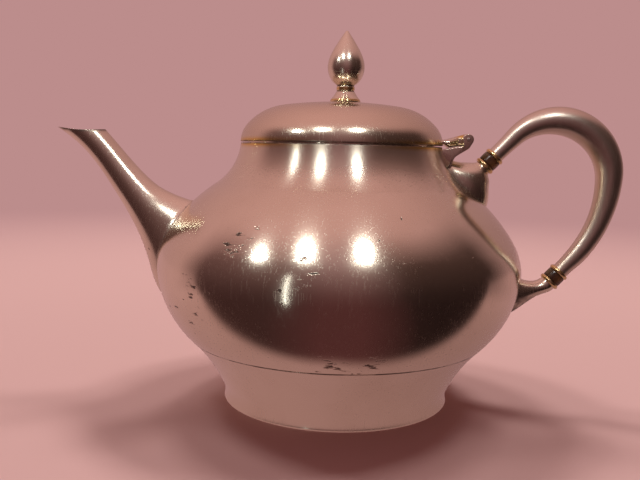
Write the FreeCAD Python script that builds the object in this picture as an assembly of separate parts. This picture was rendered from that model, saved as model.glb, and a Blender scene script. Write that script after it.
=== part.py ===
"""A squat silver-plated teapot with a hinged lid, as the soldered and pinned pieces that it is made from.

Millimetres, +Z up. The origin is on the pot's axis in the plane that the foot stands on.
-X points along the spout, +X along the handle, and the hinge pin lies along Y.
"""

import FreeCAD, Part
import math
import os

Vector = FreeCAD.Vector

# Pot: one run of tangent arcs from the mouth down to the table.
# A turn is (angle of the outward normal where the turn ends, radius), and a radius below zero is hollow.
mouth_radius = 45.0
mouth_height = 115.0
wall = 1.0
neck_angle = 6.0
neck_sweep = (56.0, -25.0)
shoulder_sweep = (30.0, 72.0)
belly_sweep = (-8.0, 26.0)
lower_belly_sweep = (-46.0, 48.0)
foot_waist_angle = -24.0
foot_edge_sweep = (8.0, -13.0)
floor_height = 2.6
floor_thickness = 1.0
floor_crown = 1.6
floor_flat_radius = 44.0

# Bearer ring soldered inside the mouth, which the lid's flange drops into.
bearer_bore_radius = 42.7
bearer_depth = 6.0

# Lid
lid_gap = 0.5
lid_radius = 45.2
lid_wall = 1.0
lid_edge_sweep = (40.0, 12.0)
lid_shoulder_sweep = (81.5, 25.0)
flange_radius = 41.8
flange_depth = 5.0
flange_wall = 0.9
vent_radius = 1.2
vent_x = -24.0

# Finial: a little off the lid's centre, with points as (radius, height above the lid's crown).
finial_x = 1.2
finial_height = 31.4
bud_seat = (3.6, 7.3)
bud_foot = (5.5, 8.7)
bud_widest = (8.2, 14.7)
bud_shoulder = (4.7, 25.0)
bud_tip_radius = 0.45
spool_rim = (6.9, 0.9)
spool_hollow = ((5.3, 2.8), (4.1, 4.7))
spool_bead_seat = (3.7, 4.9)
spool_bead_radius = 4.05
spool_sink = 1.0
stud_radius = 1.5
stud_in_bud = 7.0
washer_radius = 4.6
washer_thickness = 0.8
nut_across_flats = 6.4
nut_height = 2.6
stud_end = 1.2

# Hinge: the axis stands off the neck on a bracket, towards the handle.
hinge_x = 55.8
hinge_z = 118.6
knuckle_radius = 2.4
pin_radius = 0.9
pin_running_gap = 0.05
middle_knuckle = 6.0
side_knuckle = 4.4
knuckle_gap = 0.25
knuckle_clearance = 0.35
slot_behind = 1.6
pin_proud = 0.3
# Bracket outline as (x, z): the top from the neck outwards, the underside back to the neck, and the foot.
bracket_top = ((43.0, 113.4), (46.5, 114.3), (53.9, 115.6))
bracket_underside = ((57.5, 117.2), (56.2, 114.6), (52.3, 112.2), (50.2, 110.8), (49.3, 109.0))
bracket_foot = ((48.8, 106.0), (43.0, 105.0))
# Strap: a wide root on the lid's edge that narrows to the middle knuckle.
strap_root_half_width = 6.4
strap_root_lap = 3.0
strap_root_reach = 2.5
strap_root_thickness = 2.0
strap_root_flat = 1.0
strap_top_angle = 112.0
strap_neck = 1.4

# Handle: a straight run, two arcs and a straight run in the plane of the spout.
grip_top = 128.0
grip_back = 120.5
grip_crown_radius = 25.0
grip_back_radius = 56.0
upper_axis_angle = 46.0
lower_axis_angle = 47.0
upper_run = 13.4
lower_run = 7.9
grip_wall = 1.1
grip_hollow_lap = 0.3
# Tube radius against the share of each stretch: the upper run's end, then along both arcs.
grip_crown_radii = ((0.0, 4.2), (0.3, 6.0), (0.5, 6.6), (0.75, 6.5), (1.0, 5.9))
grip_back_radii = ((0.5, 4.9), (1.0, 4.0))

# Heat breaks: a ring with a tenon at each end, cross-pinned, between two wire collars.
break_radius = 4.2
break_length = 4.0
tenon_radius = 2.5
tenon_length = 6.0
cross_pin_radius = 0.6
cross_pin_depth = 3.4
collar_width = 1.9
collar_solder_gap = 0.05
tube_end_radius = 3.7
grip_end_runs = (3.2, 1.9, 0.0)
# Socket end: (distance from the end, radius), slightly waisted under its collar.
socket_end = ((2.3, 3.7), (1.2, 3.64), (0.0, 3.7))

# Spout: each station is (point of the lower outline, point of the upper outline, half width), as (x, z).
spout_wall = 1.1
spout_stations = (
    ((-69.0, 36.0), (-59.0, 86.5), 14.5),
    ((-82.0, 46.0), (-68.5, 88.3), 13.6),
    ((-87.6, 61.5), (-77.8, 91.6), 11.0),
    ((-95.4, 79.5), (-85.6, 96.2), 8.6),
    ((-103.4, 92.6), (-92.8, 103.0), 7.1),
    ((-112.6, 105.8), (-101.2, 112.4), 6.3),
    ((-120.6, 114.0), (-105.8, 117.6), 6.2),
    ((-131.2, 121.6), (-110.2, 122.4), 6.2),
)
spout_lip = ((-136.0, 121.6), (-118.4, 119.1), (-100.0, 120.6))

# Strainer: a pierced plate soldered inside the pot over one large opening behind the spout.
strainer_z = 66.0
strainer_radius = 14.5
strainer_thickness = 0.8
strainer_opening_radius = 12.0
strainer_hole_radius = 1.5
strainer_pitch = 4.6
strainer_rings = 2

# Handle sockets: stations as for the spout, from the pot outwards.
upper_socket_stations = (
    ((63.5, 86.0), (44.0, 111.5), 8.6),
    ((66.9, 91.4), (49.2, 109.5), 8.2),
    ((67.0, 97.0), (53.8, 108.6), 6.9),
    ((67.0, 100.6), (57.6, 108.5), 5.2),
)
lower_socket_stations = (
    ((70.0, 34.0), (74.0, 60.5), 8.4),
    ((78.2, 39.4), (80.6, 57.6), 7.6),
    ((85.2, 44.4), (84.4, 56.0), 5.9),
    ((91.4, 48.6), (88.4, 55.3), 4.4),
)

full_turn = 360.0
z_axis = Vector(0, 0, 1)
y_axis = Vector(0, 1, 0)
x_axis = Vector(1, 0, 0)
origin = Vector(0, 0, 0)


def at(x, z, y=0.0):
    """A point given as x and z in the plane of the spout."""
    return Vector(x, y, z)


def along(angle):
    """A unit direction in the plane of the spout, raised by angle above +X."""
    turn = math.radians(angle)
    return at(math.cos(turn), math.sin(turn))


def contour_edges(start, angle, turns, inset=0.0):
    """Tangent arcs from a start point, each turning the normal to a new angle, moved inwards by inset."""
    edges = []
    here = start - along(angle) * inset
    for end_angle, radius in turns:
        reach = radius - inset
        middle = here + (along((angle + end_angle) / 2) - along(angle)) * reach
        there = here + (along(end_angle) - along(angle)) * reach
        edges.append(Part.Arc(here, middle, there).toShape())
        here, angle = there, end_angle
    return edges, here


def line(a, b):
    return Part.makeLine(a, b)


def spun(edges):
    """The solid that a closed outline in the XZ plane sweeps round the pot's axis."""
    face = Part.Face(Part.Wire(Part.__sortEdges__(edges)))
    return face.revolve(origin, z_axis, full_turn)


def spun_wall(start, angle, turns, thickness, inset=0.0):
    """A spun sheet of even thickness under a contour."""
    outer, outer_end = contour_edges(start, angle, turns, inset)
    inner, inner_end = contour_edges(start, angle, turns, inset + thickness)
    outer_start = start - along(angle) * inset
    inner_start = start - along(angle) * (inset + thickness)
    return spun(outer + inner + [line(outer_start, inner_start), line(outer_end, inner_end)])


def spun_core(start, angle, turns, inset=0.0):
    """Everything inside a contour, closed to the axis at both ends."""
    edges, end = contour_edges(start, angle, turns, inset)
    first = start - along(angle) * inset
    rim = [line(at(0, first.z), first)]
    if end.x > 1e-6:
        rim.append(line(end, at(0, end.z)))
    return spun(edges + rim + [line(at(0, end.z), at(0, first.z))])


def prism(points, half_width):
    """A flat outline in the XZ plane, given as (x, z) points, extruded evenly to both sides of it."""
    corners = [at(x, z, -half_width) for x, z in points]
    face = Part.Face(Part.makePolygon(corners + corners[:1]))
    return face.extrude(y_axis * (2 * half_width))


def rod(middle, radius, half_length, axis=y_axis):
    """A round bar centred on a point."""
    return Part.makeCylinder(radius, 2 * half_length, middle - axis * half_length, axis)


def stub(base, radius, length, axis):
    """A round bar from a base point along an axis."""
    return Part.makeCylinder(radius, length, base, axis)


def oval(middle, half_axis, half_width):
    """An ellipse in two halves about a middle point: half_axis lies in the XZ plane, half_width along Y."""
    square = half_axis.cross(y_axis).normalize()
    stretch = FreeCAD.Matrix(
        half_axis.x, 0, square.x, middle.x,
        0, half_width, 0, middle.y,
        half_axis.z, 0, square.z, middle.z,
        0, 0, 0, 1,
    )
    halves = []
    for side in (1, -1):
        arc = Part.Arc(Vector(side, 0, 0), Vector(0, side, 0), Vector(-side, 0, 0)).toShape()
        halves.append(arc.transformGeometry(stretch).Edges[0])
    return Part.Wire(halves)


def station_oval(station, inset=0.0):
    """The section of a spout or socket at one station, shrunk evenly by inset."""
    low, high = (at(*point) for point in station[:2])
    half = (high - low) * 0.5
    return oval((low + high) * 0.5, half * ((half.Length - inset) / half.Length), station[2] - inset)


def round_section(middle, axis, radius):
    """A circle as an oval, square to an axis in the XZ plane."""
    return oval(middle, at(-axis.z, axis.x) * radius, radius)


def loft(sections):
    return Part.makeLoft(sections, True, False)


def fused(solids):
    whole = solids[0].fuse(solids[1:])
    return whole.removeSplitter()


# Contours shared by several pieces
mouth = at(mouth_radius, mouth_height)
belly_turns = (neck_sweep, shoulder_sweep, belly_sweep, lower_belly_sweep)
foot_seam = contour_edges(mouth, neck_angle, belly_turns)[1]


def sine_step(first, last):
    return math.sin(math.radians(first)) - math.sin(math.radians(last))


foot_seam_angle = lower_belly_sweep[0]
foot_edge_rise = -foot_edge_sweep[1] * sine_step(foot_edge_sweep[0], foot_waist_angle)
foot_waist_radius = (foot_seam.z - foot_edge_rise) / sine_step(foot_waist_angle, foot_seam_angle)
foot_turns = ((foot_waist_angle, -foot_waist_radius), foot_edge_sweep)
pot_turns = belly_turns + foot_turns

lid_edge = at(lid_radius, mouth_height + lid_gap)
lid_side_turns = (lid_edge_sweep, lid_shoulder_sweep)
lid_shoulder_end = contour_edges(lid_edge, 0.0, lid_side_turns)[1]
crown_radius = lid_shoulder_end.x / math.cos(math.radians(lid_shoulder_sweep[0]))
lid_turns = lid_side_turns + ((90.0, crown_radius),)
lid_crown = contour_edges(lid_edge, 0.0, lid_turns)[1].z

# Handle path, from the upper heat break over the crown and down to the lower one
upper_axis = along(upper_axis_angle)
lower_axis = along(lower_axis_angle)
crown_centre = at(grip_back - grip_crown_radius, grip_top - grip_crown_radius)
back_centre = at(grip_back - grip_back_radius, crown_centre.z)
crown_start_angle = 90.0 + upper_axis_angle
back_end_angle = lower_axis_angle - 90.0
crown_start = crown_centre + along(crown_start_angle) * grip_crown_radius
back_end = back_centre + along(back_end_angle) * grip_back_radius
upper_end = crown_start - upper_axis * upper_run
lower_end = back_end - lower_axis * lower_run
upper_break = upper_end - upper_axis * (break_length / 2)
lower_break = lower_end - lower_axis * (break_length / 2)


def pot_core(inset=0.0):
    """The pot's outside or inside, filled, for trimming what is soldered to it."""
    return spun_core(mouth, neck_angle, pot_turns, inset)


def lid_core(inset=0.0):
    return spun_core(lid_edge, 0.0, lid_turns, inset)


def body_shell():
    """Belly, shoulder and neck, spun in one piece, open at both ends and cut through behind the spout."""
    shell = spun_wall(mouth, neck_angle, belly_turns, wall)
    opening = stub(at(0, strainer_z), strainer_opening_radius, 2 * mouth_radius, x_axis * -1)
    return shell.cut(opening)


def foot_skirt():
    """The flared foot, faced off level where it stands."""
    below_table = stub(at(0, -wall), 2 * mouth_radius, wall, z_axis)
    return spun_wall(foot_seam, foot_seam_angle, foot_turns, wall).cut(below_table)


def crown_arc(radius, height, rise):
    """A shallow arc from the axis, where it stands rise above height, out to radius."""
    ball = (radius * radius + rise * rise) / (2 * rise)
    middle = height + rise - ball + math.sqrt(ball * ball - radius * radius / 4)
    return Part.Arc(at(0, height + rise), at(radius / 2, middle), at(radius, height)).toShape()


def base_plate():
    """The floor: a disc pushed up at its middle, cut to the inside of the foot."""
    under = floor_height
    top = floor_height + floor_thickness
    edge = 2 * foot_seam.x
    disc = spun([
        line(at(0, top + floor_crown), at(0, under + floor_crown)),
        crown_arc(floor_flat_radius, under, floor_crown),
        line(at(floor_flat_radius, under), at(edge, under)),
        line(at(edge, under), at(edge, top)),
        line(at(edge, top), at(floor_flat_radius, top)),
        crown_arc(floor_flat_radius, top, floor_crown),
    ])
    return disc.common(pot_core(wall))


def mouth_bearer():
    """A ring that fills the mouth out to a true bore."""
    top = mouth_height - wall * math.sin(math.radians(neck_angle))
    ring = stub(at(0, top - bearer_depth), mouth_radius, bearer_depth, z_axis)
    bore = stub(at(0, top - 2 * bearer_depth), bearer_bore_radius, 3 * bearer_depth, z_axis)
    return ring.common(pot_core(wall)).cut(bore)


def spout():
    """A tapered tube trimmed to the pot at its root and to a gently waved lip at its beak."""
    outside = loft([station_oval(s) for s in spout_stations])
    bore = loft([station_oval(s, spout_wall) for s in spout_stations])
    left, dip, right = (at(x, z, -mouth_radius) for x, z in spout_lip)
    lift = z_axis * mouth_radius
    lip = Part.Wire([
        Part.Arc(left, dip, right).toShape(),
        line(right, right + lift),
        line(right + lift, left + lift),
        line(left + lift, left),
    ])
    above_lip = Part.Face(lip).extrude(y_axis * (2 * mouth_radius))
    return outside.cut(pot_core()).cut(above_lip).cut(bore)


def strainer_plate():
    """A round patch of sheet that follows the inside of the pot, pierced in rings of six."""
    sheet = spun_wall(mouth, neck_angle, belly_turns, strainer_thickness, wall)
    patch = sheet.common(stub(at(0, strainer_z), strainer_radius, 2 * mouth_radius, x_axis * -1))
    holes = []
    for ring in range(strainer_rings + 1):
        for k in range(max(1, 6 * ring)):
            turn = 2 * math.pi * k / max(1, 6 * ring)
            reach = ring * strainer_pitch
            middle = at(0, strainer_z + reach * math.sin(turn), reach * math.cos(turn))
            holes.append(stub(middle, strainer_hole_radius, 2 * mouth_radius, x_axis * -1))
    return patch.cut(holes)


def solid_socket(stations, end, axis):
    """A trumpet mouth drawn down to a short even tube."""
    flare = [station_oval(s) for s in stations]
    tip = [round_section(end - axis * run, axis, radius) for run, radius in socket_end]
    return loft(flare + tip)


def socket(stations, middle, axis):
    """A solid socket trimmed to the pot and bored for the tenon and its pin."""
    end = middle - axis * (break_length / 2)
    bore = stub(end - axis * tenon_length, tenon_radius, tenon_length, axis)
    return solid_socket(stations, end, axis).cut(pot_core()).cut([bore, pin_hole(end, axis * -1)])


def pin_hole(end, axis):
    return rod(end + axis * cross_pin_depth, cross_pin_radius, mouth_radius)


def grip_bend():
    """Stations along the two arcs of the handle's path, each a middle, a direction and the tube's radius."""
    stations = []
    for share, radius in grip_crown_radii:
        angle = crown_start_angle * (1 - share)
        stations.append((crown_centre + along(angle) * grip_crown_radius, along(angle - 90), radius))
    for share, radius in grip_back_radii:
        angle = back_end_angle * share
        stations.append((back_centre + along(angle) * grip_back_radius, along(angle - 90), radius))
    return stations


def solid_grip():
    """The outside of the loop, filled, with a short even run at each end."""
    upper = [(upper_end + upper_axis * run, upper_axis, tube_end_radius) for run in reversed(grip_end_runs)]
    lower = [(lower_end + lower_axis * run, lower_axis * -1, tube_end_radius) for run in grip_end_runs]
    return loft([round_section(*station) for station in upper + grip_bend() + lower])


def grip_hollow():
    """The hollow of the loop, from the end of one tenon to the end of the other."""
    start = tenon_length - grip_hollow_lap
    radius = tenon_radius + grip_hollow_lap
    upper = (upper_end + upper_axis * start, upper_axis, radius)
    lower = (lower_end + lower_axis * start, lower_axis * -1, radius)
    bend = [(middle, axis, outside - grip_wall) for middle, axis, outside in grip_bend()]
    return loft([round_section(*station) for station in [upper] + bend + [lower]])


def handle_grip():
    """The hollow loop, bored at both ends for the tenons and drilled for their pins."""
    tube = solid_grip().cut(grip_hollow())
    for end, axis in ((upper_end, upper_axis), (lower_end, lower_axis)):
        tube = tube.cut([stub(end, tenon_radius, tenon_length, axis), pin_hole(end, axis)])
    return tube


def heat_break(middle, axis):
    """A ring with a tenon each way, drilled across for the two pins."""
    ring = rod(middle, break_radius, break_length / 2, axis)
    tenons = rod(middle, tenon_radius, break_length / 2 + tenon_length, axis)
    half = axis * (break_length / 2)
    holes = [pin_hole(middle + half, axis), pin_hole(middle - half, axis * -1)]
    return fused([ring, tenons]).cut(holes)


def break_pins(stations, middle, axis):
    """The two pins of one heat break, through the socket and through the grip, cut flush with both."""
    reach = break_length / 2 + cross_pin_depth
    end = middle - axis * (break_length / 2)
    socket_pin = rod(middle - axis * reach, cross_pin_radius, 2 * tube_end_radius)
    grip_pin = rod(middle + axis * reach, cross_pin_radius, 2 * tube_end_radius)
    socket_pin = socket_pin.common(solid_socket(stations, end, axis))
    return Part.makeCompound([socket_pin, grip_pin.common(solid_grip())])


def collar(end, axis):
    """A half-round wire soldered round the end of a tube, against the heat break."""
    half = collar_width / 2
    middle = end + axis * half
    seat = tube_end_radius + collar_solder_gap
    return Part.makeTorus(tube_end_radius, half, middle, axis).cut(rod(middle, seat, collar_width, axis))


def hinge_bracket():
    """A wedge soldered to the neck and the upper socket, with the two side knuckles of the hinge."""
    half = middle_knuckle / 2 + knuckle_gap + side_knuckle
    wedge = prism(bracket_top + ((hinge_x, hinge_z),) + bracket_underside + bracket_foot, half)
    axis_point = at(hinge_x, hinge_z)
    barrel = rod(axis_point, knuckle_radius, half)
    slot_half = middle_knuckle / 2 + knuckle_gap
    slot_back = hinge_x - knuckle_radius - slot_behind
    slot_front = hinge_x + 2 * knuckle_radius
    slot_floor = hinge_z - knuckle_radius - knuckle_clearance
    slot_top = hinge_z + 2 * knuckle_radius
    slot = prism((
        (slot_back, slot_floor), (slot_front, slot_floor), (slot_front, slot_top), (slot_back, slot_top),
    ), slot_half)
    bore = rod(axis_point, pin_radius, 2 * half)
    upper_socket_end = upper_break - upper_axis * (break_length / 2)
    below = solid_socket(upper_socket_stations, upper_socket_end, upper_axis)
    return fused([wedge.cut([pot_core(), below]), barrel]).cut([slot, bore])


def hinge_pin():
    half = middle_knuckle / 2 + knuckle_gap + side_knuckle
    return rod(at(hinge_x, hinge_z), pin_radius, half + pin_proud)


def hinge_strap():
    """A tongue from the lid's edge to the middle knuckle, narrowing towards the pin."""
    half = middle_knuckle / 2
    wide = strap_root_half_width
    under = hinge_z - knuckle_radius
    root = lid_radius - strap_root_lap
    wide_end = lid_radius + strap_root_reach
    narrow = hinge_x - knuckle_radius - strap_neck
    top = at(hinge_x, hinge_z) + along(strap_top_angle) * knuckle_radius
    profile = prism((
        (root, under),
        (root, under + strap_root_thickness),
        (lid_radius + strap_root_flat, under + strap_root_thickness),
        (top.x, top.z),
        (hinge_x, hinge_z),
        (hinge_x, under),
    ), wide)
    one_side = ((root, wide), (wide_end, wide), (narrow, half), (hinge_x, half))
    plan = one_side + tuple((x, -y) for x, y in reversed(one_side))
    corners = [Vector(x, y, under) for x, y in plan]
    footprint = Part.Face(Part.makePolygon(corners + corners[:1])).extrude(z_axis * (3 * knuckle_radius))
    tongue = profile.common(footprint).cut(lid_core())
    barrel = rod(at(hinge_x, hinge_z), knuckle_radius, half)
    bore = rod(at(hinge_x, hinge_z), pin_radius + pin_running_gap, 2 * half)
    return fused([tongue, barrel]).cut(bore)


def lid_dome():
    """The flat-crowned lid, with the finial's hole and a small steam vent."""
    dome = spun_wall(lid_edge, 0.0, lid_turns, lid_wall)
    under_lid = lid_crown - finial_height
    holes = [stub(at(finial_x, under_lid), stud_radius, 2 * finial_height, z_axis),
             stub(at(vent_x, under_lid), vent_radius, 2 * finial_height, z_axis)]
    return dome.cut(holes)


def lid_flange():
    """An angle ring inside the lid's edge that drops into the bearer."""
    base = lid_edge.z
    web = stub(at(0, base), lid_radius, flange_wall, z_axis).common(lid_core(lid_wall))
    wall_ring = stub(at(0, mouth_height - flange_depth), flange_radius, flange_depth + lid_gap, z_axis)
    bore = stub(at(0, 0), flange_radius - flange_wall, 2 * mouth_height, z_axis)
    return fused([web, wall_ring]).cut(bore)


def above_crown(point):
    """A point of the finial's outline, given as (radius, height above the lid's crown)."""
    return at(point[0], lid_crown + point[1])


def turned(edges):
    """A piece of the finial: its outline spun about the finial's own axis."""
    return spun(edges).translated(at(finial_x, 0))


def finial_bud():
    """A turned flame bud: a round bottom drawn up to a point, bored for its stud."""
    seat, tip = above_crown(bud_seat), above_crown((bud_tip_radius, finial_height))
    curve = Part.BSplineCurve()
    curve.interpolate([seat, above_crown(bud_foot), above_crown(bud_widest), above_crown(bud_shoulder), tip])
    bud = turned([
        line(at(0, seat.z), seat),
        curve.toShape(),
        line(tip, at(0, tip.z)),
        line(at(0, tip.z), at(0, seat.z)),
    ])
    return bud.cut(stub(at(finial_x, seat.z), stud_radius, stud_in_bud, z_axis))


def finial_spool():
    """The spool under the bud: a base rim, a hollow flare and a bead, trimmed to the lid's crown."""
    foot = above_crown((spool_rim[0], -spool_sink))
    rim, bead_seat, top = above_crown(spool_rim), above_crown(spool_bead_seat), above_crown(bud_seat)
    flare = [above_crown(point) for point in spool_hollow]
    hollow = Part.BSplineCurve()
    hollow.interpolate([rim] + flare)
    bead = Part.Arc(bead_seat, at(spool_bead_radius, (bead_seat.z + top.z) / 2), top)
    outline = [
        line(at(0, foot.z), foot),
        line(foot, rim),
        hollow.toShape(),
        line(flare[-1], bead_seat),
        bead.toShape(),
        line(top, at(0, top.z)),
        line(at(0, top.z), at(0, foot.z)),
    ]
    bore = stub(at(finial_x, foot.z - spool_sink), stud_radius, finial_height, z_axis)
    return turned(outline).cut(lid_core()).cut(bore)


washer_seat = lid_crown - lid_wall - washer_thickness


def finial_stud():
    """A plain stud from just past the nut up into the bud."""
    foot = washer_seat - nut_height - stud_end
    top = above_crown(bud_seat).z + stud_in_bud
    return stub(at(finial_x, foot), stud_radius, top - foot, z_axis)


def finial_washer():
    """A disc that follows the underside of the lid."""
    disc = stub(at(finial_x, washer_seat), washer_radius, 2 * washer_thickness, z_axis)
    bore = stub(at(finial_x, washer_seat - washer_thickness), stud_radius, 4 * washer_thickness, z_axis)
    return disc.common(lid_core(lid_wall)).cut(bore)


def finial_nut():
    """A hexagon nut under the washer."""
    under = washer_seat - nut_height
    reach = nut_across_flats / 2 / math.cos(math.pi / 6)
    turns = [k * math.pi / 3 for k in range(7)]
    corners = [Vector(finial_x + reach * math.cos(turn), reach * math.sin(turn), under) for turn in turns]
    hexagon = Part.Face(Part.makePolygon(corners)).extrude(z_axis * nut_height)
    return hexagon.cut(stub(at(finial_x, under - nut_height), stud_radius, 3 * nut_height, z_axis))


def pieces():
    """Every piece under the name of its node."""
    half_break = break_length / 2
    return {
        "body_shell": body_shell(),
        "foot_skirt": foot_skirt(),
        "base_plate": base_plate(),
        "mouth_bearer": mouth_bearer(),
        "spout": spout(),
        "strainer_plate": strainer_plate(),
        "upper_handle_socket": socket(upper_socket_stations, upper_break, upper_axis),
        "lower_handle_socket": socket(lower_socket_stations, lower_break, lower_axis),
        "handle_grip": handle_grip(),
        "upper_heat_break": heat_break(upper_break, upper_axis),
        "lower_heat_break": heat_break(lower_break, lower_axis),
        "upper_break_pins": break_pins(upper_socket_stations, upper_break, upper_axis),
        "lower_break_pins": break_pins(lower_socket_stations, lower_break, lower_axis),
        "upper_socket_collar": collar(upper_break - upper_axis * half_break, upper_axis * -1),
        "lower_socket_collar": collar(lower_break - lower_axis * half_break, lower_axis * -1),
        "upper_grip_collar": collar(upper_end, upper_axis),
        "lower_grip_collar": collar(lower_end, lower_axis),
        "hinge_bracket": hinge_bracket(),
        "hinge_pin": hinge_pin(),
        "hinge_strap": hinge_strap(),
        "lid_dome": lid_dome(),
        "lid_flange": lid_flange(),
        "finial_bud": finial_bud(),
        "finial_spool": finial_spool(),
        "finial_stud": finial_stud(),
        "finial_washer": finial_washer(),
        "finial_nut": finial_nut(),
    }


def main():
    os.makedirs("parts", exist_ok=True)
    for name, shape in pieces().items():
        shape.exportStep(f"parts/{name}.step")
        print(f"{name}: {len(shape.Solids)} solid(s), {shape.Volume:.0f} mm3, valid {shape.isValid()}")


main()
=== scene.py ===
import bpy
import bmesh
import math
import numpy as np
from mathutils import Matrix


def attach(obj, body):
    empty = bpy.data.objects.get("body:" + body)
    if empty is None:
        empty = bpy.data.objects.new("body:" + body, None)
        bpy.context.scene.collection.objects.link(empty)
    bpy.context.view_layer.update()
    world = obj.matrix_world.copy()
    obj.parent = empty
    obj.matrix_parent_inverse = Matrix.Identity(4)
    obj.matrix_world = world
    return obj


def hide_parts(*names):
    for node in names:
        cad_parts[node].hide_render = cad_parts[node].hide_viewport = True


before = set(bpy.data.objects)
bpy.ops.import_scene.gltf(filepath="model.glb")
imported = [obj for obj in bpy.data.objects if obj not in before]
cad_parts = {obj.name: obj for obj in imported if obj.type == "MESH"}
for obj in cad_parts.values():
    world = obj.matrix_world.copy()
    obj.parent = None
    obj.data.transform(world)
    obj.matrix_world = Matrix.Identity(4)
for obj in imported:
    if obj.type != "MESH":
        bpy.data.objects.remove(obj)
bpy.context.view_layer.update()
mm = 0.001  # every shape below is worked out in millimetres
print("frame loaded with", len(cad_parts), "CAD nodes")


# shapes are whole arrays of points, rows along the piece and columns round it

def unit(v):
    return v / np.linalg.norm(v, axis=-1, keepdims=True)


def stacked(*parts):
    return np.stack(parts, axis=-1)


def turnsRound(columns):
    return np.linspace(0, 2 * np.pi, columns, endpoint=False)


# length along a line at each of its points, by chords
def chords(points):
    return np.concatenate([[0], np.cumsum(np.linalg.norm(np.diff(points, axis=0), axis=1))])


# outward normal in the (radius, height) half plane: (cos a, sin a)
def normalAt(degrees):
    a = np.radians(degrees)
    return stacked(np.cos(a), np.sin(a))


# tangent arcs in turn: p(a) = p0 + (radius - inset) * (n(a) - n(a0)), where n is the outward normal
def arcRun(start, angle, turns, inset=0.0, step=0.75):
    here = np.array(start, float) - inset * normalAt(angle)
    parts = [here[None]]
    for end, radius in turns:
        count = max(3, int(abs(radius * math.radians(end - angle)) / step))
        a = np.linspace(angle, end, count + 1)[1:]
        parts.append(here + (radius - inset) * (normalAt(a) - normalAt(angle)))
        here, angle = parts[-1][-1], end
    return np.concatenate(parts)


# natural cubic through (knot, value) rows: second derivatives from one linear solve, then Hermite pieces
def splineThrough(knots, values, at):
    knots, values = np.asarray(knots, float), np.asarray(values, float)
    gap = np.diff(knots)
    row = np.arange(1, len(knots) - 1)
    system = np.eye(len(knots))
    system[row, row - 1], system[row, row + 1] = gap[:-1], gap[1:]
    system[row, row] = 2 * (gap[:-1] + gap[1:])
    slope = np.diff(values, axis=0) / gap[:, None]
    right = np.zeros_like(values)
    right[1:-1] = 6 * np.diff(slope, axis=0)
    bend = np.linalg.solve(system, right)
    k = np.clip(np.searchsorted(knots, at, side="right") - 1, 0, len(gap) - 1)
    h, a = gap[k][..., None], (np.asarray(at) - knots[k])[..., None]
    b = h - a
    return (bend[k] * b ** 3 + bend[k + 1] * a ** 3) / (6 * h) + (
        values[k] / h - bend[k] * h / 6) * b + (values[k + 1] / h - bend[k + 1] * h / 6) * a


# curve through a few (radius, height) points, spaced by chord length
def turnedCurve(points, count):
    points = np.asarray(points, float)
    knots = chords(points)
    return splineThrough(knots, points, np.linspace(0, knots[-1], count))


# softened end of a wall: a quarter ellipse from the middle of the end out to this side
def easedEnd(side, other, reach):
    outwards = unit(side[0] - side[1])
    middle = (side[0] + other[0]) / 2 - outwards * reach
    a = np.radians([90.0, 65.0, 40.0, 20.0, 0.0])[:, None]
    curve = middle + (side[0] - other[0]) / 2 * np.cos(a) + outwards * reach * np.sin(a)
    return np.concatenate([curve, side[1:]])


# both sides of a wall profile, with its first and last ends softened
def easedWall(outer, inner, first, last):
    outer, inner = easedEnd(outer, inner, first), easedEnd(inner, outer, first)
    flipped = easedEnd(outer[::-1], inner[::-1], last), easedEnd(inner[::-1], outer[::-1], last)
    return flipped[0][::-1], flipped[1][::-1]


# surface of revolution about Z: (r cos t, r sin t, z)
def spun(profile, columns):
    t = turnsRound(columns)
    r, z = profile[:, :1], profile[:, 1:]
    return stacked(r * np.cos(t), r * np.sin(t), z + 0 * t)


# surface of revolution about an axis in the XZ plane: middle + along * axis + r * (cos t * up + sin t * Y)
def spunAbout(profile, middle, axis, columns):
    t = turnsRound(columns)
    axis = np.array([axis[0], 0, axis[1]])
    up = np.array([-axis[2], 0, axis[0]])
    ring = np.cos(t)[:, None] * up + np.sin(t)[:, None] * np.array([0, 1.0, 0])
    start = np.array([middle[0], 0, middle[1]])
    return start + profile[:, 1][:, None, None] * axis + profile[:, 0][:, None, None] * ring


# quads of a grid that closes on itself round its columns
def gridQuads(rows, columns):
    index = np.arange(rows * columns).reshape(rows, columns)
    beside = np.roll(index, -1, axis=1)
    return stacked(index[:-1], beside[:-1], beside[1:], index[1:])


# a wall from an outer and an inner sheet of one size, joined at both ends and round any cells left out
def walled(outer, inner, keep=None):
    rows, columns = outer.shape[:2]
    quads = gridQuads(rows, columns)
    keep = np.ones(quads.shape[:2], bool) if keep is None else keep
    under = rows * columns
    kept = quads[keep]
    ring = np.arange(columns)
    beside = np.roll(ring, -1)
    last = (rows - 1) * columns
    faces = [kept, kept[:, ::-1] + under,
             stacked(beside, ring, ring + under, beside + under),
             stacked(ring, beside, beside + under, ring + under) + last]
    for edge, (shift, way) in enumerate(((1, 0), (-1, 1), (-1, 0), (1, 1))):
        gone = ~np.roll(keep, shift, axis=way)
        if way == 0:
            gone[0 if shift > 0 else -1] = False
        a, b = quads[keep & gone][:, edge], quads[keep & gone][:, (edge + 1) % 4]
        faces.append(stacked(b, a, a + under, b + under))
    return np.concatenate([outer.reshape(-1, 3), inner.reshape(-1, 3)]), np.concatenate(faces)


# a solid from one sheet whose first and last rows shrink to a point
def closed(sheet):
    first, last = sheet[:1].mean(axis=1, keepdims=True), sheet[-1:].mean(axis=1, keepdims=True)
    spread = np.ones((1, sheet.shape[1], 1))
    sheet = np.concatenate([first * spread, sheet, last * spread])
    return sheet.reshape(-1, 3), gridQuads(*sheet.shape[:2]).reshape(-1, 4)


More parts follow.
